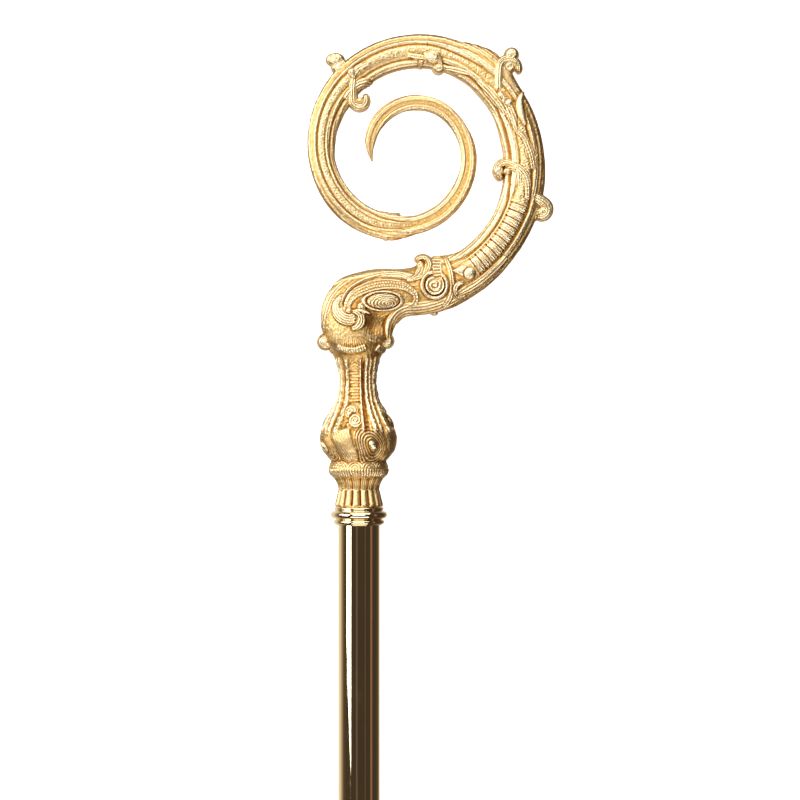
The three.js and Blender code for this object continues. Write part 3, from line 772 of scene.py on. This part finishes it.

# %% [markdown]
# ## Gilded cast brass
# Cast brass that has been chased and gilded is pale gold where it is burnished. Its hollows stay matt, where
# old polish dries. A number per point, high on the crests and low in the hollows, paints the colour as well:
# darker and browner in the hollows, partly for the dried polish and partly as painted shade for the light that
# they lose and that bounces between gold walls, and paler on the crests, as a painted highlight. Sand from the
# mould leaves a grain of about 0.5 mm, drawn at 0.9 mm here so that it shows, and the punch leaves dots of
# about 1 mm.

# %% Gilded cast brass
cast_gold, tree, shader = metal("gilded_cast_brass")
place = node(tree, "TexCoord").outputs["Object"]
# The crest number paints light and shade into the colour: through the ramp below, the gold is darker and
# browner in the hollows and on sides turned from the light, as painted shade, and paler on the crests, as a
# painted highlight. It also makes the hollows rougher.
crest_and_painted_shade = node(tree, "Attribute", attribute_name="crest_and_painted_shade").outputs["Fac"]
grain = node(tree, "TexNoise", {"Vector": place}, Scale=1000 / 0.9, Detail=3.0, Roughness=0.65).outputs["Fac"]
cloud = node(tree, "TexNoise", {"Vector": place}, Scale=1000 / 14, Detail=2.0).outputs["Fac"]
mixed = node(tree, "Math", {0: grain, 2: crest_and_painted_shade}, operation="MULTIPLY_ADD", at_1=0.5)
level = node(tree, "Math", {0: mixed.outputs[0]}, operation="SUBTRACT", at_1=0.25)
gold = ramp(tree, level.outputs[0], [(0.0, colour("#94602A")), (0.28, colour("#D2A055")), (0.5,
                                                                                           colour("#EFCB8A")),
                                     (0.75, colour("#FFF4D2"))])
tone = node(tree, "Mix", {0: cloud, 6: gold}, data_type="RGBA", blend_type="MULTIPLY", at_7=colour("#F2EADB"))
tree.links.new(tone.outputs[2], shader.inputs["Base Color"])
rough = node(tree, "MapRange", {"Value": level.outputs[0]}, **{"From Min": 0.2, "From Max": 0.9,
                                                               "To Min": 0.4, "To Max": 0.2})
tree.links.new(rough.outputs[0], shader.inputs["Roughness"])
pits = node(tree, "Bump", {"Height": grain}, Strength=0.9, Distance=0.0004)
tree.links.new(pits.outputs[0], shader.inputs["Normal"])

# %% [markdown]
# ## Mirror-polished gilt brass
# The tube and the turned rings were polished on a wheel and then gilded, so they mirror the room. What gives
# the metal away is handling: faint smears where the glove has rubbed, and hairline
# scratches along the staff, drawn 0.8 mm wide so that they show at all.

# %% Mirror-polished gilt brass
polished, tree, shader = metal("mirror_polished_gilt_brass")
place = node(tree, "TexCoord").outputs["Object"]
smear = node(tree, "TexNoise", {"Vector": place}, Scale=1000 / 30, Detail=4.0, Roughness=0.65).outputs["Fac"]
hair = node(tree, "Mapping", {"Vector": place}, Scale=(1.0, 0.05, 1.0)).outputs[0]
hairs = node(tree, "TexNoise", {"Vector": hair}, Scale=1000 / 0.8, Detail=2.0).outputs["Fac"]
shader.inputs["Base Color"].default_value = colour("#F3E0B8")
rub = node(tree, "MapRange", {"Value": smear}, **{"From Min": 0.5, "From Max": 0.75, "To Min": 0.035,
                                                  "To Max": 0.12})
tree.links.new(rub.outputs[0], shader.inputs["Roughness"])
scratch = node(tree, "Bump", {"Height": hairs}, Strength=0.03, Distance=0.0001)
tree.links.new(scratch.outputs[0], shader.inputs["Normal"])

# %% [markdown]
# ## Dress the pieces
# Each new piece rides on the frame's one body, takes one of the two finishes made above, and stands for its
# node.

# %% Materials, bodies and nodes
for piece in (elbow, cartouche, right, left, tail, scrolls, knop):
    piece.data.materials.append(cast_gold)
    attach(piece, "root")
    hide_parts("head")
turned = {"collar": collar, **rings, **tubes, "foot": foot}
for name, piece in turned.items():
    piece.data.materials.append(polished)
    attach(piece, "root")
    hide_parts(name)
print(len(turned) + 7, "pieces dressed")

# %% [markdown]
# ## Floor, light and camera
# The studio is a sheet of white paper in a dim brown room. The paper glows a little, as a light table does,
# which keeps it white and takes away hard shadows. It is left out of mirror reflections, so that the polished
# tube shows the dim room and stays dark beside the paper. A long soft box at the left draws the white stripe
# down the tube, and the one at the right
# draws a thin reddish one. Two faint strips, as from a door and a shelf, streak the tube between them. The boxes beyond the head and below the
# picture light the carving without showing in the tube, because a straight mirror only shows what lies square
# to it.

# %% Paper floor
CENTRE = lay(np.array([24.6, 0, 75]))  # the middle of the view
paper = bpy.data.materials.new("white_paper")
paper.use_nodes = True
paper.node_tree.nodes["Principled BSDF"].inputs["Base Color"].default_value = colour("#F7F6F3")
paper.node_tree.nodes["Principled BSDF"].inputs["Roughness"].default_value = 0.9
paper.node_tree.nodes["Principled BSDF"].inputs["Emission Color"].default_value = colour("#FFFFFF")
paper.node_tree.nodes["Principled BSDF"].inputs["Emission Strength"].default_value = 0.95
bpy.ops.mesh.primitive_plane_add(size=12)
floor = bpy.context.object
floor.name = "paper_floor"
floor.data.materials.append(paper)
floor.visible_glossy = False


# %% Lights and camera
def aim(obj, place, target=CENTRE):
    """Puts an object at a place in upright metres from the middle of the view, looking at the middle."""
    spot = LAY @ np.array(place) + target
    z = (spot - target) / np.linalg.norm(spot - target)
    up = LAY @ np.array([0, 0, 1.0])
    x = np.cross(up, z)
    x /= np.linalg.norm(x)
    turn = np.stack([x, np.cross(z, x), z], -1)
    obj.matrix_world = Matrix([[*turn[i], spot[i]] for i in range(3)] + [[0, 0, 0, 1]])


def soft_box(name, place, wide, high, watts, tint="#FFFFFF", target=0.0, roll=0.0):
    """A rectangular area light in upright axes: x to the right, y away from the camera, z up the picture."""
    lamp = bpy.data.lights.new(name, "AREA")
    lamp.shape, lamp.size, lamp.size_y, lamp.energy = "RECTANGLE", wide, high, watts
    lamp.color = colour(tint)[:3]
    made = bpy.data.objects.new(name, lamp)
    bpy.context.scene.collection.objects.link(made)
    aim(made, place, CENTRE + LAY @ np.array([0, 0, target]))
    made.matrix_world = made.matrix_world @ Matrix.Rotation(np.radians(roll), 4, "Z")


soft_box("left_box", (-1.63, -1.16, 0), 0.95, 1.7, 28, target=0.45, roll=-10)
soft_box("left_low_box", (-2.2, -0.4, 0), 0.8, 1.7, 9, target=0.9)
soft_box("top_box", (0, -2.3, 0), 2.2, 1.8, 25, target=0.86)
soft_box("head_box", (0.2, -1.3, 2.2), 3.2, 1.2, 43)
soft_box("low_box", (0.1, -1.5, -2.2), 3.0, 1.0, 37)
soft_box("right_box", (1.75, -0.55, 0), 0.42, 1.9, 0.7, "#E8A488", target=0.1)
soft_box("door_box", (-0.42, -1.95, 0), 0.3, 1.6, 0.16, "#E8D8B8", target=-0.6)
soft_box("shelf_box", (1.1, -1.6, 0), 0.12, 1.9, 0.09, "#E8B890", target=-0.5)

world = bpy.data.worlds.new("dim_room")
bpy.context.scene.world = world
world.use_nodes = True
tree = world.node_tree
way = node(tree, "TexCoord").outputs["Generated"]
glow = node(tree, "VectorMath", {0: way}, operation="DOT_PRODUCT", at_1=(-0.45, 0.0, -0.9)).outputs["Value"]
rise = node(tree, "MapRange", {"Value": glow}, **{"From Min": -1.0, "From Max": 1.0})
room = ramp(tree, rise.outputs[0], [(0.5, colour("#443B33")), (0.68, colour("#5A4C3F")), (0.8,
                                                                                          colour("#A8967F")),
                                    (0.93, colour("#F4ECDF"))])
tree.links.new(room, tree.nodes["Background"].inputs[0])

camera = bpy.data.cameras.new("camera")
camera.lens, camera.sensor_width = 135, 36
view = bpy.data.objects.new("camera", camera)
bpy.context.scene.collection.objects.link(view)
VIEW_WIDTH = 0.48  # metres across the picture at the crook
aim(view, (0, -VIEW_WIDTH * camera.lens / camera.sensor_width, 0))
bpy.context.scene.camera = view
bpy.context.scene.view_settings.view_transform = "Standard"

# %% The end
bpy.context.view_layer.update()
